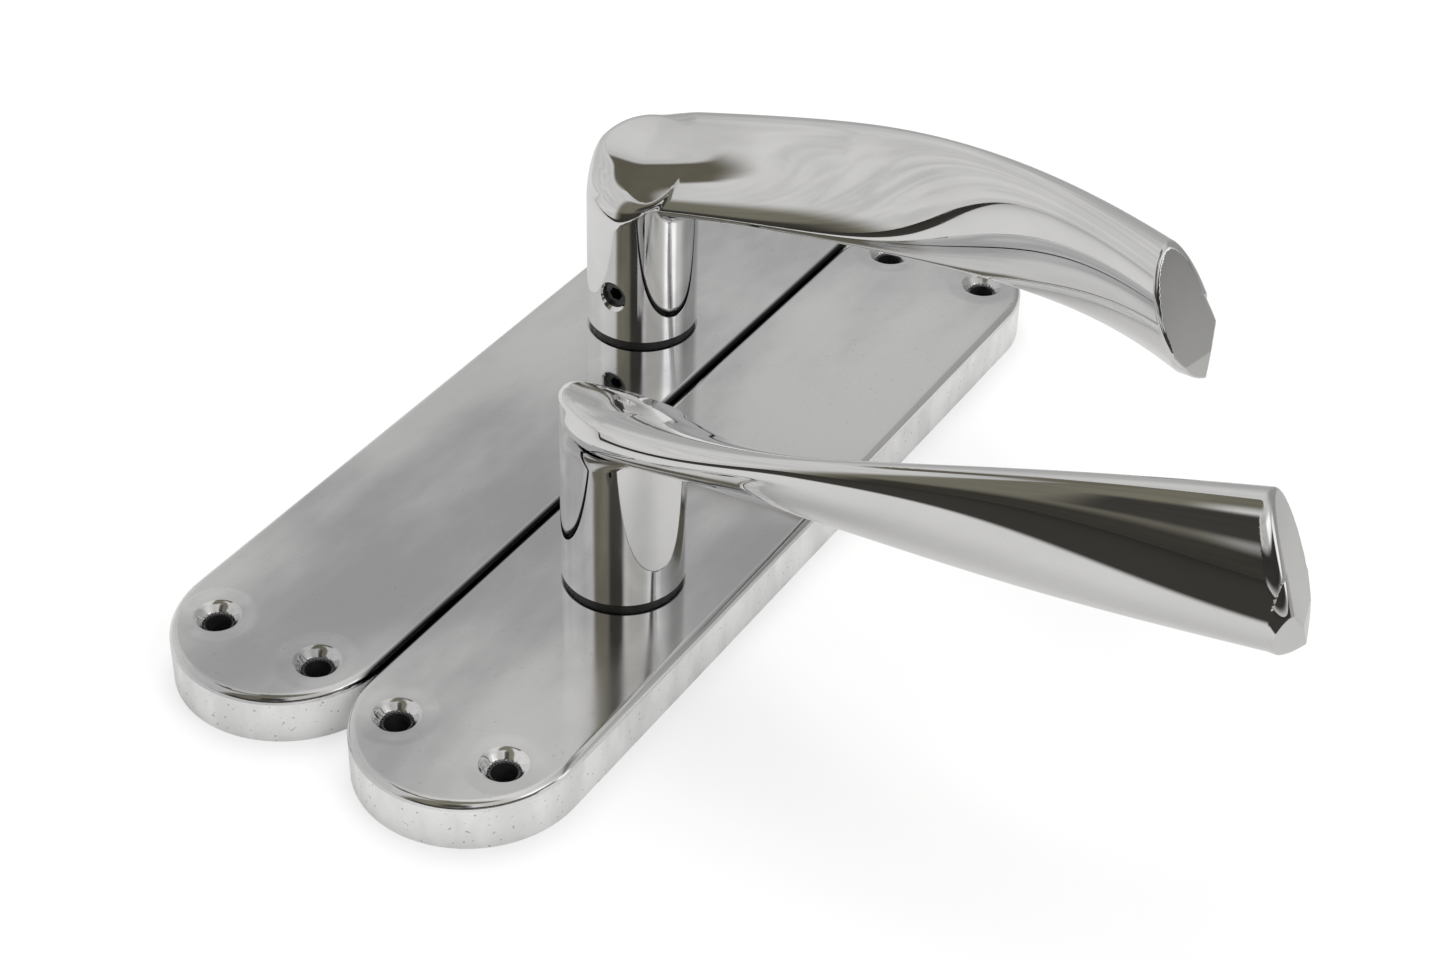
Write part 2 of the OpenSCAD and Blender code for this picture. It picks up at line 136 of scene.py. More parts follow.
# What polished metal sees round it. Azimuth runs from +Y towards +X, and both angles are in degrees.
studio = {
    "paper": (0.66, 0.655, 0.645),
    "white": 1.0,
    "plainLevel": 0.85,
    "creases": {  # slight folds that keep the reflections from being quite even
        "stretch": (1.3, 1.3, 6.0), "scale": 1.6, "detail": 4.0, "twist": 0.9, "between": (0.3, 0.7), "depth": 0.10,
    },
    "patches": [
        {"name": "farPaper", "at": (-22, 12), "half": (36, 34), "soft": 24, "colour": (0.45, 0.448, 0.445)},
        {"name": "sideWall", "at": (28, 15), "half": (30, 40), "soft": 16, "colour": (0.34, 0.338, 0.33)},
        {"name": "ceiling", "at": (-135, 90), "half": (60, 20), "soft": 7, "colour": (0.17, 0.16, 0.125)},
        {"name": "ceilingFar", "at": (145, 90), "half": (40, 30), "soft": 8, "colour": (0.17, 0.16, 0.125)},
        {"name": "lampArm", "at": (-108, 66), "half": (17, 8), "soft": 3, "colour": (0.13, 0.12, 0.09)},
        {"name": "room", "at": (180, 38), "half": (23, 46), "soft": 5, "colour": (0.19, 0.18, 0.14)},
        {"name": "column", "at": (160, 36), "half": (13, 15), "soft": 4, "colour": (0.05, 0.048, 0.042)},
        {"name": "roomShade", "at": (172, 0), "half": (24, 16), "soft": 5, "colour": (0.045, 0.043, 0.036)},
        {"name": "wallRight", "at": (123, 38), "half": (16, 15), "soft": 6, "colour": (0.52, 0.51, 0.48)},
        {"name": "roomEdge", "at": (112, 12), "half": (42, 10), "soft": 4, "colour": (0.037, 0.034, 0.031)},
        {"name": "window", "at": (88, 31), "half": (13, 8), "soft": 4, "colour": (1.2, 1.2, 1.2)},
        {"name": "windowSide", "at": (63, 7), "half": (7, 14), "soft": 4, "colour": (1.1, 1.1, 1.1)},
    ],
    "floorSize": 6.0,
    "floorColour": (0.80, 0.80, 0.795),
    "floorMirroredShade": (0.54, 0.536, 0.526),  # painted shade: the darker tone that metal sees in place of floorColour
    "floorSideShades": [  # and the darker painted shade it turns to on the way out
        {"way": (0.89, 0.45, 0.0), "from": 0.06, "to": 0.30, "colour": (0.27, 0.267, 0.258)},
        {"way": (0.5, -0.866, 0.0), "from": 0.125, "to": 0.145, "colour": (0.035, 0.033, 0.029)},
    ],
    "glowShare": 0.55,  # how far the shown floor is lifted to white, beside the plates
    "glowInset": 0.8,
    "lamps": [
        {"name": "topSoft", "at": (-0.25, 0.35, 1.1), "size": 0.9, "power": 7.0},
        {"name": "sideSoft", "at": (0.8, -0.1, 0.8), "size": 0.6, "power": 3.0},
    ],
}
# The backplate, in millimetres. Its painted shade darkens the groove between the two plates.
plate = {
    "length": 195.0,
    "width": 40.0,
    "top": 9.5,
    "edge": 1.5,
    "middle": 32.4,
    "holePitch": (21.3, 166.5),
    "holeEdge": 2.6,
    "dish": (3.6, 7.5),
    "dishDepth": 0.22,
    "grooveAt": -20.15,
    "grooveDark": (0.7, 1.5),
    "paintedGrooveShade": (0.02, 0.02, 0.022),
    "finishes": ("plateChrome", "castWall", "rawCasting", "paintedBoreShade"),
    "frontTilt": 0.05,  # this and the next four tell the faces of each finish apart
    "frontBand": 1.6,
    "frontDepth": 0.5,
    "wallBand": 0.3,
    "boreTilt": 0.2,
    "flatAngle": 0.002,
    "creaseAngle": 32.0,
    "faceWeight": 50,
}


def plateMiddle(handle):
    return forHandle(handle, np.array([0, plate["middle"], 0]))


def buildWorld():
    world = bpy.data.worlds.new("studio")
    world.use_nodes = True
    bpy.context.scene.world = world
    tree = world.node_tree
    tree.nodes.clear()
    direction = newNode(tree, "ShaderNodeTexCoord").outputs["Generated"]
    parts = newNode(tree, "ShaderNodeSeparateXYZ", {0: direction}).outputs
    elevation = mathNode(tree, "DEGREES", mathNode(tree, "ARCSINE", parts[2]))
    azimuth = mathNode(tree, "DEGREES", mathNode(tree, "ARCTAN2", parts[0], parts[1]))
    seen = studio["paper"]
    for patch in studio["patches"]:
        away = mathNode(tree, "SUBTRACT", azimuth, patch["at"][0])
        away = mathNode(tree, "ABSOLUTE", mathNode(tree, "WRAP", away, 180.0, -180.0))
        up = mathNode(tree, "ABSOLUTE", mathNode(tree, "SUBTRACT", elevation, patch["at"][1]))
        soft = patch["soft"]
        wide, tall = (rampBetween(tree, off, half + soft, half - soft) for off, half in zip((away, up), patch["half"]))
        seen = mixColour(tree, mathNode(tree, "MULTIPLY", wide, tall), seen, patch["colour"])
        seen.node.name = patch["name"]
    folds = studio["creases"]
    stretched = vectorNode(tree, "MULTIPLY", direction, folds["stretch"])[0]
    noise = {"Vector": stretched, "Scale": folds["scale"], "Detail": folds["detail"], "Distortion": folds["twist"]}
    level = newNode(tree, "ShaderNodeTexNoise", noise).outputs["Fac"]
    level = rampBetween(tree, level, *folds["between"], 1 - folds["depth"], 1 + folds["depth"])
    seen = newNode(tree, "ShaderNodeVectorMath", {0: seen, "Scale": level}, operation="SCALE").outputs[0]
    white = (1, 1, 1, 1)
    mirrored = newNode(tree, "ShaderNodeBackground", {0: seen, 1: 1.0}).outputs[0]
    plain = newNode(tree, "ShaderNodeBackground", {0: white, 1: studio["plainLevel"]}).outputs[0]
    shown = newNode(tree, "ShaderNodeBackground", {0: white, 1: studio["white"]}).outputs[0]
    path = newNode(tree, "ShaderNodeLightPath").outputs
    shiny = mathNode(tree, "MAXIMUM", path["Is Glossy Ray"], path["Is Transmission Ray"])
    shown = mixShader(tree, path["Is Camera Ray"], mixShader(tree, shiny, plain, mirrored), shown)
    newNode(tree, "ShaderNodeOutputWorld", {0: shown})


def besidePlates(tree, place):  # 1 beside both plates, 0 under them
    parts = newNode(tree, "ShaderNodeSeparateXYZ", {0: place}).outputs
    straight = (plate["length"] - plate["width"]) / 2 * mm
    radius = (plate["width"] / 2 - studio["glowInset"]) * mm
    clears = []
    for handle in handles:
        middle = plateMiddle(handle) * mm
        across = mathNode(tree, "SUBTRACT", parts[0], middle[0])
        along = mathNode(tree, "ABSOLUTE", mathNode(tree, "SUBTRACT", parts[1], middle[1]))
        past = mathNode(tree, "MAXIMUM", mathNode(tree, "SUBTRACT", along, straight), 0.0)
        square = mathNode(tree, "ADD", *(mathNode(tree, "MULTIPLY", d, d) for d in (across, past)))
        clears.append(mathNode(tree, "GREATER_THAN", mathNode(tree, "SQRT", square), radius))
    return mathNode(tree, "MULTIPLY", *clears)


def buildFloor():
    half = studio["floorSize"] / 2
    mesh = bpy.data.meshes.new("floor")
    mesh.from_pydata([(-half, -half, 0), (half, -half, 0), (half, half, 0), (-half, half, 0)], [], [(0, 1, 2, 3)])
    floor = linked("floor", mesh)
    material = bpy.data.materials.new("paleFloor")
    material.use_nodes = True
    tree = material.node_tree
    tree.nodes.clear()
    path = newNode(tree, "ShaderNodeLightPath").outputs
    place = newNode(tree, "ShaderNodeTexCoord").outputs["Object"]
    # Painted shade: metal sees the floor darker than the camera does, and darker still on the way out.
    mirrored = studio["floorMirroredShade"]
    for side in studio["floorSideShades"]:
        reach = vectorNode(tree, "DOT_PRODUCT", place, side["way"])["Value"]
        mirrored = mixColour(tree, rampBetween(tree, reach, side["from"], side["to"]), mirrored, side["colour"])
    mirrored = newNode(tree, "ShaderNodeBsdfDiffuse", {0: mirrored}).outputs[0]
    direct = newNode(tree, "ShaderNodeBsdfDiffuse", {0: (*studio["floorColour"], 1)}).outputs[0]
    paper = mixShader(tree, path["Is Glossy Ray"], direct, mirrored)
    glow = newNode(tree, "ShaderNodeEmission", {0: (1, 1, 1, 1), 1: studio["white"]}).outputs[0]
    share = mathNode(tree, "MULTIPLY", path["Is Camera Ray"], besidePlates(tree, place))
    share = mathNode(tree, "MULTIPLY", share, studio["glowShare"])
    newNode(tree, "ShaderNodeOutputMaterial", {0: mixShader(tree, share, paper, glow)})
    mesh.materials.append(material)


def buildLamps():
    middle = (cadLow + cadHigh) / 2
    for lamp in studio["lamps"]:
        data = bpy.data.lights.new(lamp["name"], "AREA")
        data.shape = "DISK"
        data.size = lamp["size"]
        data.energy = lamp["power"]
        light = linked(lamp["name"], data)
        light.location = lamp["at"]
        light.rotation_euler = (middle - Vector(lamp["at"])).to_track_quat("-Z", "Y").to_euler()
        light.visible_camera = False
        light.visible_glossy = False


buildWorld()
buildFloor()
buildLamps()
print("studio built")

# The finishes. "cloud" spreads the two tones and the roughness, and each wave is how often it comes per metre along
# each axis, with its depth in metres.
finishes = {
    "leverChrome": {
        "colour": (0.82, 0.82, 0.82), "shade": (0.77, 0.77, 0.775), "metal": 1.0, "rough": (0.015, 0.05),
        "cloud": (30, 90, 90), "waves": [((16, 70, 70), 2.5e-5), ((300, 1100, 1100), 2.5e-7)], "specks": 0.06,
    },
    "plateChrome": {
        "colour": (0.93, 0.93, 0.93), "shade": (0.60, 0.60, 0.61), "metal": 1.0, "rough": (0.05, 0.15),
        "cloud": (34, 15, 40), "waves": [((26, 17, 30), 2.2e-4), ((130, 90, 130), 4e-6)], "specks": 0.12,
    },
    "castWall": {
        "colour": (0.84, 0.84, 0.84), "shade": (0.72, 0.72, 0.72), "metal": 0.45, "rough": (0.30, 0.44),
        "cloud": (160, 160, 60), "waves": [((1700, 1700, 70), 1.4e-5), ((120, 120, 90), 2e-5)], "specks": 0.6,
    },
    "rawCasting": {
        "colour": (0.36, 0.36, 0.37), "shade": (0.22, 0.22, 0.23), "metal": 0.85, "rough": (0.45, 0.65),
        "cloud": (70, 70, 70), "waves": [((900, 900, 900), 3e-5), ((120, 120, 120), 6e-5)], "specks": 0.3,
    },
    # painted shade inside the plate's screw-hole bores
    "paintedBoreShade": {
        "colour": (0.035, 0.035, 0.035), "shade": (0.015, 0.015, 0.015), "metal": 0.4, "rough": (0.5, 0.7),
        "cloud": (300, 300, 300), "waves": [((900, 900, 900), 2e-5)], "specks": 0.1,
    },
    "blackNylon": {
        "colour": (0.020, 0.020, 0.020), "shade": (0.010, 0.010, 0.010), "metal": 0.0, "rough": (0.36, 0.52),
        "cloud": (400, 400, 400), "waves": [((2200, 2200, 2200), 6e-6)], "specks": 0.1,
    },
    "blackSteel": {
        "colour": (0.13, 0.13, 0.135), "shade": (0.06, 0.06, 0.062), "metal": 1.0, "rough": (0.28, 0.42),
        "cloud": (260, 260, 260), "waves": [((1500, 1500, 1500), 4e-6)], "specks": 0.2,
    },
    "zincPlated": {
        "colour": (0.66, 0.67, 0.72), "shade": (0.60, 0.57, 0.47), "metal": 1.0, "rough": (0.20, 0.34),
        "cloud": (60, 60, 200), "waves": [((700, 90, 700), 4e-6)], "specks": 0.2,
    },
    "springSteel": {
        "colour": (0.46, 0.46, 0.47), "shade": (0.30, 0.29, 0.28), "metal": 1.0, "rough": (0.18, 0.32),
        "cloud": (180, 180, 500), "waves": [((400, 400, 2600), 4e-6)], "specks": 0.15,
    },
}
wear = {  # the noise that every finish shares
    "cloudDetail": 4.0, "cloudBetween": (0.35, 0.65),
    "speckOften": (1300, 1300, 1300), "speckDetail": 1.0, "speckBetween": (0.68, 0.76),
    "speckTone": 0.35, "speckRough": 0.5,
    "rubSpread": 1.7, "rubDetail": 3.0, "rubBetween": (0.3, 0.7),
}


def noiseAt(tree, place, stretch, detail=2.0):
    spread = vectorNode(tree, "MULTIPLY", place, stretch)[0]
    return newNode(tree, "ShaderNodeTexNoise", {"Vector": spread, "Scale": 1.0, "Detail": detail}).outputs["Fac"]


def dished(tree, place, middle):  # 1 away from the plate's screw holes, falling to 0 at each
    parts = newNode(tree, "ShaderNodeSeparateXYZ", {0: place}).outputs
    squares = []
    for k, pitch in enumerate(plate["holePitch"]):
        off = mathNode(tree, "ABSOLUTE", mathNode(tree, "SUBTRACT", parts[k], middle[k] * mm))
        off = mathNode(tree, "SUBTRACT", off, pitch / 2 * mm)
        squares.append(mathNode(tree, "MULTIPLY", off, off))
    away = mathNode(tree, "SQRT", mathNode(tree, "ADD", *squares))
    return rampBetween(tree, away, plate["dish"][0] * mm, plate["dish"][1] * mm)


def grooveShade(tree, place):  # where the painted groove shade falls: 1 at the plates' common edge, 0 away from it
    beside = newNode(tree, "ShaderNodeSeparateXYZ", {0: place}).outputs[0]
    beside = mathNode(tree, "ABSOLUTE", mathNode(tree, "SUBTRACT", beside, plate["grooveAt"] * mm))
    near, clear = plate["grooveDark"]
    return rampBetween(tree, beside, clear * mm, near * mm)


def finish(name, handle=""):  # with a handle's name it has that handle's painted groove shade and dished holes
    fullName = name + handle.capitalize()
    if fullName in bpy.data.materials:
        return bpy.data.materials[fullName]
    look = finishes[name]
    material = bpy.data.materials.new(fullName)
    material.use_nodes = True
    tree = material.node_tree
    place = newNode(tree, "ShaderNodeTexCoord").outputs["Object"]
    tone = rampBetween(tree, noiseAt(tree, place, look["cloud"], wear["cloudDetail"]), *wear["cloudBetween"])
    speck = rampBetween(tree, noiseAt(tree, place, wear["speckOften"], wear["speckDetail"]), *wear["speckBetween"])
    worn = mathNode(tree, "MULTIPLY", speck, look["specks"])
    colour = mixColour(tree, tone, look["shade"], look["colour"])
    colour = mixColour(tree, worn, colour, tuple(wear["speckTone"] * c for c in look["shade"]))
    rubbed = noiseAt(tree, place, tuple(wear["rubSpread"] * c for c in look["cloud"]), wear["rubDetail"])
    rough = rampBetween(tree, rubbed, *wear["rubBetween"], *look["rough"])
    rough = mathNode(tree, "ADD", rough, mathNode(tree, "MULTIPLY", worn, wear["speckRough"]))
    heights = [(noiseAt(tree, place, often), depth) for often, depth in look["waves"]]
    if handle:
        # painted shade darkens the plates along the groove between them
        colour = mixColour(tree, grooveShade(tree, place), colour, plate["paintedGrooveShade"])
        heights.append((dished(tree, place, plateMiddle(handle)), plate["dishDepth"] * mm))
    bump = {}
    for height, depth in heights:
        bump.update({"Height": height, "Strength": 1.0, "Distance": depth})
        bump["Normal"] = newNode(tree, "ShaderNodeBump", bump).outputs[0]
    shader = tree.nodes["Principled BSDF"]
    shader.inputs["Metallic"].default_value = look["metal"]
    for socket, value in (("Base Color", colour), ("Roughness", rough), ("Normal", bump["Normal"])):
        tree.links.new(value, shader.inputs[socket])
    return material


# The lever, in millimetres from the spindle's axis at the door. Four-value rows are the blade at four equal steps from
# its root to its tip, three-value rows are its start, middle and end, and the rounds go from one value to the other.
lever = {
    "length": 113.8,
    "plateTop": 9.5,
    "neckRadius": 10.8,
    "neckBottom": 10.6,
    "side": (-1.9, -6.9, -4.0, 6.3),
    "rise": (34.2, 40.3, 45.1, 46.43),
    "halfWidth": (12.3, 11.5, 11.5, 12.9),
    "twist": (67.0, 43.2, 7.0, -21.0),
    "bulgeOut": (3.2, 3.5, 8.8),
    "bulgeIn": (5.2, 5.8, 6.3),
    "powerOut": (3.5, 2.0),  # how square the outer side is, at the root and from powerEnds on
    "powerIn": 2.0,
    "powerEnds": 40.0,
    "powerOver": (-0.4, 0.4),  # where it comes in, across the blade
    "flankPower": 0.9,  # the part of it that the inner side has
    "flankOver": (0.1, 0.7),
    "rootLength": 5.0,
    "rootReach": 10.0,
    "rootCut": 1.0,
    "rootRound": 0.5,
    "tipSlant": 22.9,
    "tipSkew": 13.1,
    "tipRound": (0.7, 3.3),  # its outer and its inner edge
    "tipOver": (-0.2, 0.9),
    "cornerEdge": 0.35,
    "corners": [
        ((117.0, 7, 47.5), (1, 0.23, 0.19)),
        ((116.7, 2.8, 47.7), (1, -0.5, -0.13)),
        ((106.6, 12, 68.6), (0.35, 0.6, 0.7)),
    ],
    "capSoft": 1.5,  # the cap is the flat top of the neck
    "capWidest": 0.93,
    "capNarrows": 0.07,
    "rimRound": (1.6, 9.0),  # beside the blade, and on the neck's side towards +Y
    "rimOver": (-0.2, 0.9),
    "rimAhead": 0.7,
    "elbowRound": (1.6, 6.0),  # where the blade leaves the neck, and on the side towards -Y
    "elbowAhead": 0.8,
    "belowNeck": 2,
    "neckEdge": 0.01,
    "sharpAngle": 30,
    "onSurface": 0.01,  # nearer than this, and facing alike, a corner takes the true surface's normal
    "facing": 0.85,
}
# How the lever's mesh is made: the coarse start, then the remesh and its steps onto the true surface.
meshing = {
    "around": 48, "along": 60, "tip": 12, "tipSteps": (8, 4, 0), "tipHeight": 55, "rootInside": 1.2,
    "neckAround": 64, "neckTall": 30, "searchFrom": 45.0, "searchSteps": 20, "under": 0.3,
    "voxel": 0.34, "settleSteps": 14, "longestStep": 0.5,
}
skew, slant = (math.tan(math.radians(lever[k])) for k in ("tipSkew", "tipSlant"))


def between(ends, share):
    return ends[0] + (ends[1] - ends[0]) * share


def eased(t, span=(0, 1)):
    t = np.clip((t - span[0]) / (span[1] - span[0]), 0, 1)
    return t * t * (3 - 2 * t)


def through4(values, s):
    a, b, c, d = values
    return (a * (1 - 3 * s) * (1 - 1.5 * s) * (1 - s) + 9 * b * s * (1 - 1.5 * s) * (1 - s)
            - 4.5 * c * s * (1 - 3 * s) * (1 - s) + d * s * (1 - 3 * s) * (1 - 1.5 * s))


def through3(values, s):
    a, b, c = values
    return a * (1 - 2 * s) * (1 - s) + 4 * b * s * (1 - s) - c * s * (1 - 2 * s)


def bladeSection(x):  # the root end is drawn in to fit the neck
    s = np.minimum(x / lever["length"], 1)
    gone = np.maximum(lever["rootLength"] - x, 0) / (lever["rootLength"] + lever["rootReach"])
    root = np.sqrt(np.maximum(1 - gone * gone, 1e-3))
    turn = np.radians(through4(lever["twist"], s))
    return {
        "side": through4(lever["side"], s) * root,
        "rise": lever["plateTop"] + through4(lever["rise"], s),
        "half": through4(lever["halfWidth"], s) * root,
        "out": through3(lever["bulgeOut"], s) * np.sqrt(root),
        "in": through3(lever["bulgeIn"], s) * np.sqrt(root),
        "cos": np.cos(turn),
        "sin": np.sin(turn),
        "power": between(lever["powerOut"], eased(x / lever["powerEnds"])),
    }


def inSection(p):  # place across and through the blade, each 1 at its surface
    c = bladeSection(p[:, 0])
    y, z = p[:, 1] - c["side"], p[:, 2] - c["rise"]
    u = (z * c["cos"] - y * c["sin"]) / c["half"]
    v = y * c["cos"] + z * c["sin"]
    power = 2 + (c["power"] - 2) * eased(u, lever["powerOver"])
    under = lever["powerIn"] + (c["power"] - 2) * lever["flankPower"] * eased(u, lever["flankOver"])
    return u, v / np.where(v > 0, c["out"], c["in"]), np.where(v > 0, power, under)


def bladeLevel(p):
    u, v, power = inSection(p)
    return (np.abs(u) ** power + np.abs(v) ** power) ** (1 / power) - 1


def capLevel(p):  # the blade's outer side, carried on flat beyond its edges to top the neck off
    c = bladeSection((p[:, 0] + np.sqrt(p[:, 0] ** 2 + lever["capSoft"])) / 2)
    y, z = p[:, 1] - c["side"], p[:, 2] - c["rise"]
    u = (z * c["cos"] - y * c["sin"]) / c["half"]
    near = eased(u, lever["powerOver"])
    power, widest = 2 + (c["power"] - 2) * near, lever["capWidest"] - lever["capNarrows"] * near
    u = ((np.abs(u) ** 4 + 1e-6) ** -1 + widest ** -4) ** -0.25
    return y * c["cos"] + z * c["sin"] - c["out"] * (1 - u ** power) ** (1 / power)


# A surface is a pair: distance to it, negative inside, and the way out of it.
def measured(level, p, step=0.01):
    slope = np.empty_like(p)
    for k in range(3):
        d = np.zeros(3)
        d[k] = step
        slope[:, k] = (level(p + d) - level(p - d)) / (2 * step)
    size = np.maximum(np.linalg.norm(slope, axis=1), 1e-4)
    return level(p) / size, slope / size[:, None]


def plane(p, point, normal):
    normal = np.array(normal, float) / np.linalg.norm(normal)
    return (p - point) @ normal, np.tile(normal, (len(p), 1))


def rounded(a, b, radius, sign):  # a ball of this radius rolled along where the two meet
    turn = np.clip((a[1] * b[1]).sum(1), -0.98, 0.9995)  # short of parallel, so that nothing is divided by 0
    wa, wb = radius + sign * a[0], radius + sign * b[0]
    ka, kb = (wa - turn * wb) / (1 - turn ** 2), (wb - turn * wa) / (1 - turn ** 2)
    ball = (ka > 0) & (kb > 0)
    size = np.sqrt(np.maximum(wa * ka + wb * kb, 1e-12))
    first = sign * a[0] > sign * b[0]
    ka, kb = np.where(ball, ka / size, first), np.where(ball, kb / size, ~first)
    away = np.where(ball, sign * (size - radius), sign * np.maximum(sign * a[0], sign * b[0]))
    return away, a[1] * ka[:, None] + b[1] * kb[:, None]


def cutBy(a, b, radius):
    return rounded(a, b, radius, 1)


def joinedTo(a, b, radius):
    return rounded(a, b, radius, -1)


def bladeSurface(p):
    through = inSection(p)[1]
    tip = (lever["length"], lever["side"][3], lever["plateTop"] + lever["rise"][3])
    edge = between(lever["tipRound"], eased(-through, lever["tipOver"]))
    blade = cutBy(measured(bladeLevel, p), plane(p, tip, (1, skew, slant)), edge)
    for point, normal in lever["corners"]:
        blade = cutBy(blade, plane(p, point, normal), lever["cornerEdge"])
    return cutBy(blade, plane(p, (lever["rootCut"] - lever["rootReach"], 0, 0), (-1, 0, 0)), lever["rootRound"])


def leverSurface(p):
    out = np.hypot(p[:, 0], p[:, 1])
    way = np.stack([p[:, 0], p[:, 1], 0 * out], 1) / np.maximum(out, 1e-6)[:, None]
    ahead, aside = (p[:, k] / np.maximum(out, 1) for k in range(2))
    free = eased(aside, lever["rimOver"]) * (1 - eased(ahead / lever["rimAhead"]))
    neck = cutBy((out - lever["neckRadius"], way), measured(capLevel, p), between(lever["rimRound"], free))
    neck = cutBy(neck, plane(p, (0, 0, lever["neckBottom"] - lever["belowNeck"]), (0, 0, -1)), lever["neckEdge"])
    web = eased(-way[:, 1] - lever["elbowAhead"] * np.maximum(way[:, 0], 0))
    return joinedTo(bladeSurface(p), neck, between(lever["elbowRound"], web))


def column(items, name, width=3, kind=float):  # one value of every item, as an array
    flat = np.empty(len(items) * width, kind)
    items.foreach_get(name, flat)
    return flat.reshape(-1, width) if width > 1 else flat


def evaluated(mesh, *modifiers):
    holder = linked("holder", mesh)
    for kind, settings in modifiers:
        modifier = holder.modifiers.new(kind, kind)
        for name, value in settings.items():
            setattr(modifier, name, value)
    result = bpy.data.meshes.new_from_object(holder.evaluated_get(bpy.context.evaluated_depsgraph_get()))
    bpy.data.objects.remove(holder)
    return result


def solidObject(shape, name):
    mesh = bpy.data.meshes.new(name)
    bmesh.ops.recalc_face_normals(shape, faces=shape.faces)
    shape.to_mesh(mesh)
    shape.free()
    return linked(name, mesh)


def addCylinder(shape, radius, low, high, turn=None, radius2=None, segments=96):
    made = bmesh.ops.create_cone(shape, cap_ends=True, segments=segments, radius1=radius,
                                 radius2=radius if radius2 is None else radius2, depth=high - low)["verts"]
    bmesh.ops.translate(shape, verts=made, vec=(0, 0, (low + high) / 2))
    if turn is not None:
        bmesh.ops.transform(shape, verts=made, matrix=turn)
    return made


def cylinder(name, *sizes, **more):
    shape = bmesh.new()
    addCylinder(shape, *sizes, **more)
    return solidObject(shape, name)


def boxes(name, *corners):
    shape = bmesh.new()
    for low, high in corners:
        for vert in bmesh.ops.create_cube(shape, size=1)["verts"]:
            vert.co = Vector([(low[k] + high[k]) / 2 + vert.co[k] * (high[k] - low[k]) for k in range(3)])
    return solidObject(shape, name)


def combined(mesh, added, taken, *after):
    steps = [("UNION", tool) for tool in added] + [("DIFFERENCE", tool) for tool in taken]
    steps = [("BOOLEAN", {"operation": kind, "object": tool, "solver": "MANIFOLD"}) for kind, tool in steps]
    result = evaluated(mesh, *steps, *after)
    for tool in (*added, *taken):
        bpy.data.objects.remove(tool)
    return result


def roughBlade(shape):  # rings of points along the blade, closed at both ends
    a = -2 * np.pi * np.arange(meshing["around"]) / meshing["around"]
    end, tip = lever["length"], meshing["tip"]
    first = meshing["rootInside"] - lever["rootReach"]
    rings = []
    for x in (*np.linspace(first, end - tip, meshing["along"]), *(end - step for step in meshing["tipSteps"])):
        c = {k: float(v[0]) for k, v in bladeSection(np.array([x])).items()}
        power = np.where(np.sin(a) > 0, c["power"], lever["powerIn"])
        u, v = (np.sign(f(a)) * np.abs(f(a)) ** (2 / power) for f in (np.cos, np.sin))
        u, v = c["half"] * u, np.where(v > 0, c["out"], c["in"]) * v
        y, z = c["side"] - c["sin"] * u + c["cos"] * v, c["rise"] + c["cos"] * u + c["sin"] * v
        lean = max(x - end + tip, 0) / tip * ((y - lever["side"][3]) * skew + (z - meshing["tipHeight"]) * slant)
        rings.append([shape.verts.new(at) for at in zip(x - lean, y, z)])
    for near, far in zip(rings, rings[1:]):
        for i in range(meshing["around"]):
            j = (i + 1) % meshing["around"]
            shape.faces.new((near[i], far[i], far[j], near[j]))
    shape.faces.new(rings[0])
    shape.faces.new(rings[-1][::-1])


def roughLever():  # coarse closed shapes that the voxel remesh joins
    shape = bmesh.new()
    roughBlade(shape)
    low = lever["neckBottom"] - lever["belowNeck"]
    high = low + meshing["neckTall"]
    for vert in addCylinder(shape, lever["neckRadius"], low, high, segments=meshing["neckAround"]):
        if vert.co.z > (low + high) / 2:
            top = np.array([[vert.co.x, vert.co.y, meshing["searchFrom"]]])
            for _ in range(meshing["searchSteps"]):
                top[:, 2] -= capLevel(top)
            vert.co.z = float(top[0, 2]) - meshing["under"]
    mesh = bpy.data.meshes.new("roughLever")
    shape.to_mesh(mesh)
    shape.free()
    return mesh


# The part of the lever below its neck, with the spindle's socket and the set screw's hole. The last two rows are how
# far the cutters reach.
spigot = {
    "radius": 8.0, "flats": 13.5, "flatTop": 3.2, "bottom": 0.2,
    "grooveLow": 0.6, "grooveHigh": 1.35, "grooveRadius": 7.3,
    "socket": 8.1, "socketDepth": 32.0,
    "grubHole": 2.55, "grubHeight": 20.0, "grubChamfer": 0.7,
    "past": 1.0, "flatsReach": 12, "grooveReach": 9.5, "coreReach": 0.2,
    "grubReach": (1.0, 14.0), "flareReach": (0.3, 0.6),
}


def settledLever():  # the remeshed start, moved onto the true surface and cut off flat under the neck
    mesh = evaluated(roughLever(), ("REMESH", {"mode": "VOXEL", "voxel_size": meshing["voxel"]}))
    p = column(mesh.vertices, "co")
    for _ in range(meshing["settleSteps"]):
        away, out = leverSurface(p)
        p = p - out * np.clip(away, -meshing["longestStep"], meshing["longestStep"])[:, None]
    mesh.vertices.foreach_set("co", p.ravel())
    shape = bmesh.new()
    shape.from_mesh(mesh)
    bmesh.ops.bisect_plane(shape, geom=shape.verts[:] + shape.edges[:] + shape.faces[:],
                           plane_co=(0, 0, lever["neckBottom"]), plane_no=(0, 0, -1), clear_outer=True)
    bmesh.ops.contextual_create(shape, geom=[e for e in shape.edges if e.is_boundary])
    shape.to_mesh(mesh)
    shape.free()
    return mesh


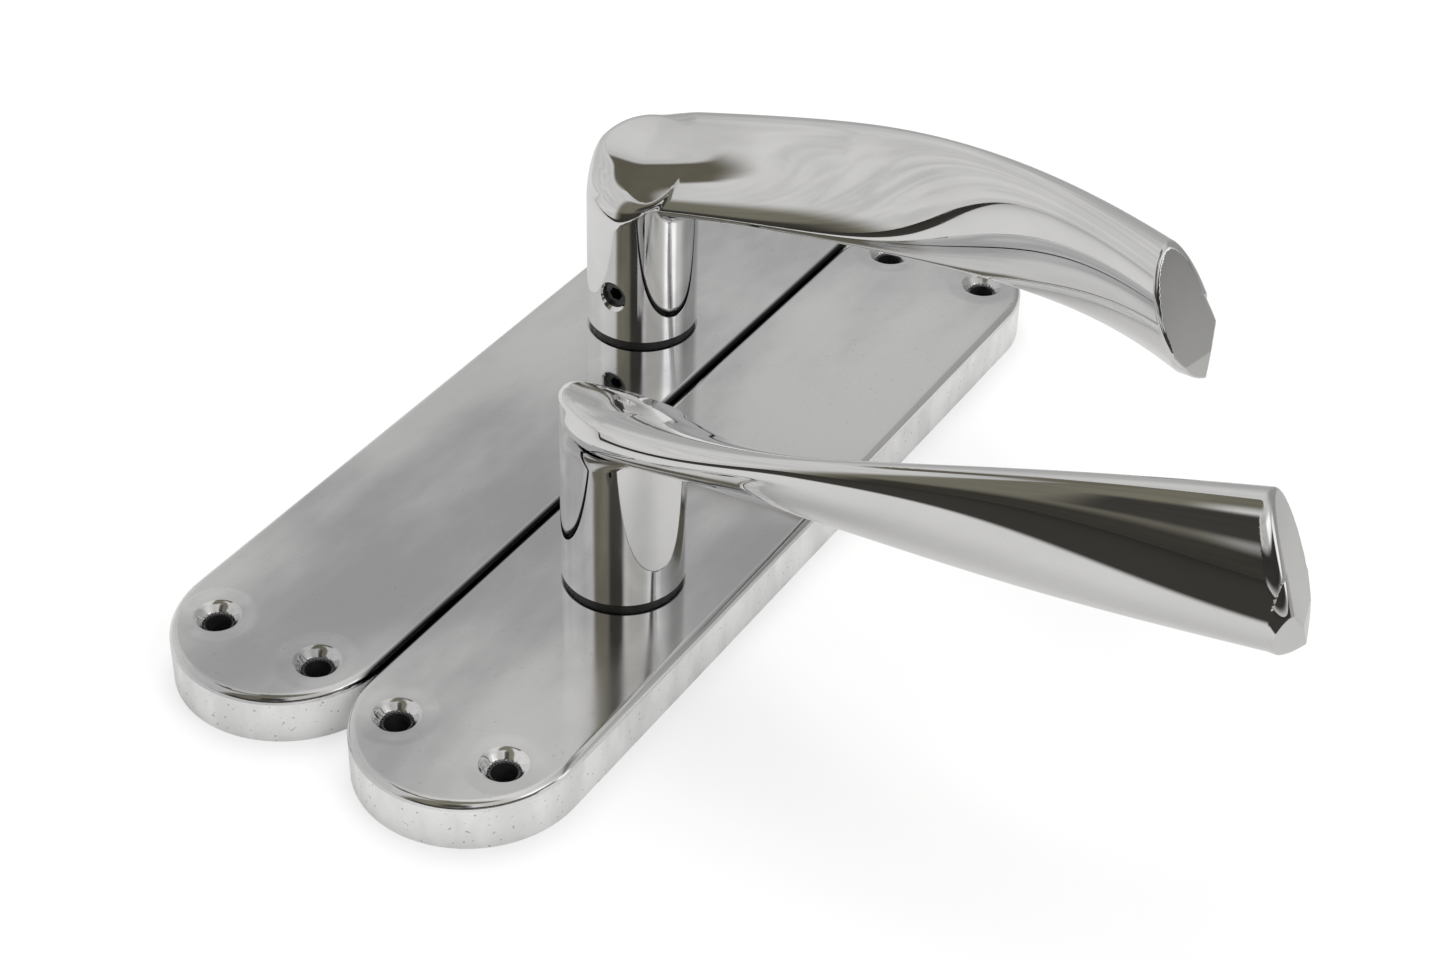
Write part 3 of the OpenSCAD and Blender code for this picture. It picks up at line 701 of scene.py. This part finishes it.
def leverMesh():
    low, high, past, reach = spigot["grooveLow"], spigot["grooveHigh"], spigot["past"], spigot["flatsReach"]
    flat, half, mouth = spigot["flats"] / 2, spigot["socket"] / 2, lever["neckRadius"]
    sideways = Matrix.Translation((0, 0, spigot["grubHeight"])) @ Matrix.Rotation(-math.pi / 2, 4, "X")
    hole, chamfer, (inner, outer) = spigot["grubHole"], spigot["grubChamfer"], spigot["flareReach"]
    mesh = settledLever()
    stem = cylinder("stem", spigot["radius"], spigot["bottom"], lever["neckBottom"] + past)
    groove = cylinder("groove", spigot["grooveReach"], low, high)
    core = cylinder("core", spigot["grooveRadius"], low - spigot["coreReach"], high + spigot["coreReach"])
    groove.data = combined(groove.data, [], [core])
    return combined(mesh, [stem], [
        boxes("flats", ((-reach, -reach, -past), (-flat, reach, spigot["flatTop"])),
              ((flat, -reach, -past), (reach, reach, spigot["flatTop"]))),
        boxes("socket", ((-half, -half, -past), (half, half, spigot["socketDepth"]))),
        cylinder("hole", hole, *spigot["grubReach"], sideways),
        cylinder("flare", hole - inner, mouth - chamfer - inner, mouth + outer, sideways, hole + chamfer + outer),
        groove,
    ])


def polishedNormals(mesh, p, sign):  # the true surface's own normals wherever the mesh lies on it
    mesh.set_sharp_from_angle(angle=math.radians(lever["sharpAngle"]))
    normals = column(mesh.corner_normals, "vector")
    corner = column(mesh.loops, "vertex_index", 1, int)
    totals = column(mesh.polygons, "loop_total", 1, int)
    faceNormals = np.repeat(column(mesh.polygon_normals, "vector"), totals, axis=0)
    away, out = leverSurface(p)
    out = out / np.linalg.norm(out, axis=1)[:, None] * (1, sign, 1)
    near = lever["onSurface"]
    smooth = (np.abs(away) < near)[corner] & (p[corner, 2] > lever["neckBottom"] + near)
    smooth &= (out[corner] * faceNormals).sum(1) > lever["facing"]
    normals[smooth] = out[corner][smooth]
    mesh.normals_split_custom_set(normals)


def buildLevers():
    shared = leverMesh()
    p = column(shared.vertices, "co")
    faces = [tuple(f.vertices) for f in shared.polygons]
    for handle in handles:
        mesh = bpy.data.meshes.new(handle + "_castLever")
        mirrored = handle == "inside"
        mesh.from_pydata((forHandle(handle, p) * mm).tolist(), [], [f[::-1] for f in faces] if mirrored else faces)
        polishedNormals(mesh, p, -1 if mirrored else 1)
        mesh.materials.append(finish("leverChrome"))
        piece = linked(handle + "_castLever", mesh)
        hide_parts(handle + "_lever")
        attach(piece, handle + "_handle")
        print("lever:", handle, len(mesh.polygons), "faces")


buildLevers()


def plateFinish(p, normal):  # which of the plate's finishes a face has, by its place from the plate's middle
    below = plate["top"] - p[2]
    straight = (plate["length"] - plate["width"]) / 2
    rim = plate["width"] / 2 - math.hypot(p[0], max(abs(p[1]) - straight, 0))
    if below < plate["edge"] + 0.01 and (normal[2] > plate["frontTilt"] or rim < plate["frontBand"]):
        return "plateChrome"
    if rim < plate["wallBand"]:
        return "castWall"
    hole = math.hypot(abs(p[0]) - plate["holePitch"][0] / 2, abs(p[1]) - plate["holePitch"][1] / 2)
    # the screw holes' bores take the painted shade
    if hole < plate["holeEdge"] and abs(normal[2]) < plate["boreTilt"]:
        return "paintedBoreShade"
    return "plateChrome" if below < plate["frontDepth"] else "rawCasting"


def plateMesh(handle):  # the frame's own plate with its triangles evened out, shaded smooth between its creases
    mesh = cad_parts[handle + "_backplate"].data.copy()
    shape = bmesh.new()
    shape.from_mesh(mesh)
    bmesh.ops.remove_doubles(shape, verts=shape.verts, dist=1e-6)
    bmesh.ops.dissolve_limit(shape, angle_limit=plate["flatAngle"], verts=shape.verts, edges=shape.edges)
    bmesh.ops.triangulate(shape, faces=shape.faces)
    for face in shape.faces:
        face.smooth = True
    shape.to_mesh(mesh)
    shape.free()
    mesh.set_sharp_from_angle(angle=math.radians(plate["creaseAngle"]))
    mesh = evaluated(mesh, ("WEIGHTED_NORMAL", {"keep_sharp": True, "weight": plate["faceWeight"]}))
    mesh.name = handle + "_castPlate"
    return mesh


def buildPlates():
    for handle in handles:
        mesh = plateMesh(handle)
        mesh.materials.clear()
        for name in plate["finishes"]:
            mesh.materials.append(finish(name, handle if name == "plateChrome" else ""))
        for face in mesh.polygons:
            name = plateFinish(np.array(face.center) / mm - plateMiddle(handle), face.normal)
            face.material_index = plate["finishes"].index(name)
        piece = linked(handle + "_castPlate", mesh)
        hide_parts(handle + "_backplate")
        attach(piece, "plates")
        print("plate:", handle, len(mesh.polygons), "faces")


buildPlates()

# The return spring, in millimetres.
spring = {
    "coil": 11.4,
    "wire": 0.6,
    "turns": 2.0,
    "low": 3.65,
    "high": 6.3,
    "legSide": 2.2,
    "legReach": 17.1,
    "bend": 0.75,
    "held": 5.6,
    "turned": 4.3,
    "coilSteps": 96,
    "bendSteps": 5,
    "around": 16,
    "creaseAngle": 35,
}
springInputs = ("coil", "wire", "turns", "low", "high", "legSide", "legReach", "bend")
# The two screws of the spring's cover, in millimetres. slotLong is a part of the head's radius, and turned is in
# radians from the one to the other.
coverScrew = {
    "apart": 43.0,
    "head": 2.3,
    "shank": 1.25,
    "face": 0.6,
    "under": 1.6,
    "end": 6.2,
    "slot": 0.5,
    "slotDeep": 0.5,
    "slotLong": 0.7,
    "inHead": 0.3,
    "past": 1.0,
    "turned": 0.6,
    "bevel": 0.06,
    "bevelSteps": 2,
    "bevelAngle": 50,
    "around": 40,
    "creaseAngle": 35,
}


def newTree(name, sizes):
    tree = bpy.data.node_groups.new(name, "GeometryNodeTree")
    tree.interface.new_socket("Geometry", in_out="INPUT", socket_type="NodeSocketGeometry")
    for label in sizes:
        tree.interface.new_socket(label, in_out="INPUT", socket_type="NodeSocketFloat")
    tree.interface.new_socket("Finish", in_out="INPUT", socket_type="NodeSocketMaterial")
    tree.interface.new_socket("Geometry", in_out="OUTPUT", socket_type="NodeSocketGeometry")
    return tree, tree.nodes.new("NodeGroupInput").outputs


def endTree(tree, shape, given):
    real = newNode(tree, "GeometryNodeRealizeInstances", {"Geometry": shape}).outputs[0]
    real = newNode(tree, "GeometryNodeSetMaterial", {"Geometry": real, "Material": given["Finish"]}).outputs[0]
    newNode(tree, "NodeGroupOutput", {0: real})


def springTree():
    tree, given = newTree("returnSpring", springInputs)
    steps, leg = spring["coilSteps"], 2  # points along the coil, and on each leg
    index = newNode(tree, "GeometryNodeInputIndex").outputs[0]
    along = mathNode(tree, "DIVIDE", mathNode(tree, "SUBTRACT", index, leg), steps, clamp=True)
    lead = mathNode(tree, "ARCSINE", mathNode(tree, "DIVIDE", given["legSide"], given["coil"]))
    whole = mathNode(tree, "MULTIPLY", given["turns"], 2 * math.pi)
    whole = mathNode(tree, "SUBTRACT", whole, mathNode(tree, "MULTIPLY", lead, 2.0))
    angle = mathNode(tree, "ADD", mathNode(tree, "ADD", lead, math.pi), mathNode(tree, "MULTIPLY", whole, along))
    x, y = (mathNode(tree, "MULTIPLY", given["coil"], mathNode(tree, wave, angle)) for wave in ("COSINE", "SINE"))
    rise = mathNode(tree, "SUBTRACT", given["high"], given["low"])
    z = mathNode(tree, "ADD", given["low"], mathNode(tree, "MULTIPLY", rise, along))
    before, after = mathNode(tree, "SUBTRACT", leg, index), mathNode(tree, "SUBTRACT", index, steps + leg)
    off = mathNode(tree, "MAXIMUM", before, after)
    first, second = mathNode(tree, "ADD", off, 0.0, clamp=True), mathNode(tree, "SUBTRACT", off, 1.0, clamp=True)
    shoulder = mathNode(tree, "ADD", given["coil"], given["wire"])
    toShoulder = mathNode(tree, "SUBTRACT", mathNode(tree, "MULTIPLY", shoulder, -1.0), x)
    toTip = mathNode(tree, "SUBTRACT", shoulder, given["legReach"])
    out = (mathNode(tree, "MULTIPLY", share, way) for share, way in ((first, toShoulder), (second, toTip)))
    x = mathNode(tree, "ADD", x, mathNode(tree, "ADD", *out))
    place = newNode(tree, "ShaderNodeCombineXYZ", {0: x, 1: y, 2: z}).outputs[0]
    line = newNode(tree, "GeometryNodeMeshLine", {"Count": steps + 2 * leg + 1}).outputs[0]
    line = newNode(tree, "GeometryNodeSetPosition", {"Geometry": line, "Position": place}).outputs[0]
    curve = newNode(tree, "GeometryNodeMeshToCurve", {"Mesh": line}).outputs[0]
    bends = {"Curve": curve, "Radius": given["bend"], "Count": spring["bendSteps"], "Limit Radius": True}
    curve = newNode(tree, "GeometryNodeFilletCurve", bends, mode="POLY").outputs[0]
    circle = {"Resolution": spring["around"], "Radius": given["wire"]}
    circle = newNode(tree, "GeometryNodeCurvePrimitiveCircle", circle).outputs[0]
    wire = {"Curve": curve, "Profile Curve": circle, "Fill Caps": True}
    wire = newNode(tree, "GeometryNodeCurveToMesh", wire).outputs[0]
    endTree(tree, newNode(tree, "GeometryNodeSetShadeSmooth", {"Geometry": wire}).outputs[0], given)
    return tree


def screwTree():
    tree, given = newTree("coverScrews", ("apart",))
    start = newNode(tree, "ShaderNodeCombineXYZ", {1: mathNode(tree, "MULTIPLY", given["apart"], -0.5)}).outputs[0]
    step = newNode(tree, "ShaderNodeCombineXYZ", {1: given["apart"]}).outputs[0]
    line = newNode(tree, "GeometryNodeMeshLine", {"Count": 2, "Start Location": start, "Offset": step}).outputs[0]
    spin = mathNode(tree, "MULTIPLY", newNode(tree, "GeometryNodeInputIndex").outputs[0], coverScrew["turned"])
    spin = newNode(tree, "ShaderNodeCombineXYZ", {2: spin}).outputs[0]
    both = {"Points": line, "Instance": given["Geometry"], "Rotation": spin}
    endTree(tree, newNode(tree, "GeometryNodeInstanceOnPoints", both).outputs[0], given)
    return tree


def grown(tree, start, values):  # the tree's result as a plain mesh
    holder = linked("holder", start)
    modifier = holder.modifiers.new("grown", "NODES")
    modifier.node_group = tree
    for item in tree.interface.items_tree:
        if item.in_out == "INPUT" and item.name in values:
            modifier[item.identifier] = values[item.name]
    holder.update_tag()
    result = bpy.data.meshes.new_from_object(holder.evaluated_get(bpy.context.evaluated_depsgraph_get()))
    holder.modifiers.clear()
    bpy.data.objects.remove(holder)
    return result


def screwMesh():
    face, under, around = coverScrew["face"], coverScrew["under"], coverScrew["around"]
    radius, shank = coverScrew["head"], coverScrew["shank"]
    head = cylinder("screwHead", radius, face, under, radius2=shank, segments=around)
    stem = cylinder("screwStem", shank, under - coverScrew["inHead"], coverScrew["end"], segments=around)
    long, thin = radius * coverScrew["slotLong"], coverScrew["slot"] / 2
    low, high = face - coverScrew["past"], face + coverScrew["slotDeep"]
    slots = [boxes("screwSlot", ((-x, -y, low), (x, y, high))) for x, y in ((thin, long), (long, thin))]
    bevel = {"width": coverScrew["bevel"], "segments": coverScrew["bevelSteps"], "limit_method": "ANGLE",
             "angle_limit": math.radians(coverScrew["bevelAngle"])}
    mesh = combined(head.data, [stem], slots, ("BEVEL", bevel))
    bpy.data.objects.remove(head)
    return mesh


def placed(handle, part, mesh, creaseAngle):
    mesh.vertices.foreach_set("co", (forHandle(handle, column(mesh.vertices, "co")) * mm).ravel())
    if handle == "inside":
        mesh.flip_normals()
    mesh.set_sharp_from_angle(angle=math.radians(creaseAngle))
    return linked(handle + "_" + part, mesh)


def buildSprungParts():
    springs, screws = springTree(), screwTree()
    oneScrew = screwMesh()
    sizes = {name: spring[name] for name in springInputs}
    for handle in handles:
        mesh = grown(springs, bpy.data.meshes.new("start"), {**sizes, "Finish": finish("springSteel")})
        piece = placed(handle, "springCoil", mesh, spring["creaseAngle"])
        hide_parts(handle + "_return_spring")
        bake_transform(piece)
        print("grown:", handle, "return_spring", len(mesh.polygons), "faces")
        mesh = grown(screws, oneScrew, {"apart": coverScrew["apart"], "Finish": finish("zincPlated")})
        piece = placed(handle, "coverScrewPair", mesh, coverScrew["creaseAngle"])
        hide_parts(handle + "_cover_screws")
        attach(piece, "plates")
        print("grown:", handle, "cover_screws", len(mesh.polygons), "faces")


buildSprungParts()

carried = {
    "bush": "blackNylon",
    "grub_screw": "blackSteel",
    "thrust_washer": "zincPlated",
    "drive_plate": "zincPlated",
    "wave_washer": "springSteel",
    "circlip": "blackSteel",
    "spring_cover": "zincPlated",
}
for handle in handles:
    for part, name in carried.items():
        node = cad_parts[handle + "_" + part]
        if not node.material_slots:
            node.data.materials.append(None)
        for slot in node.material_slots:
            slot.material = finish(name)
print("carried pieces finished")
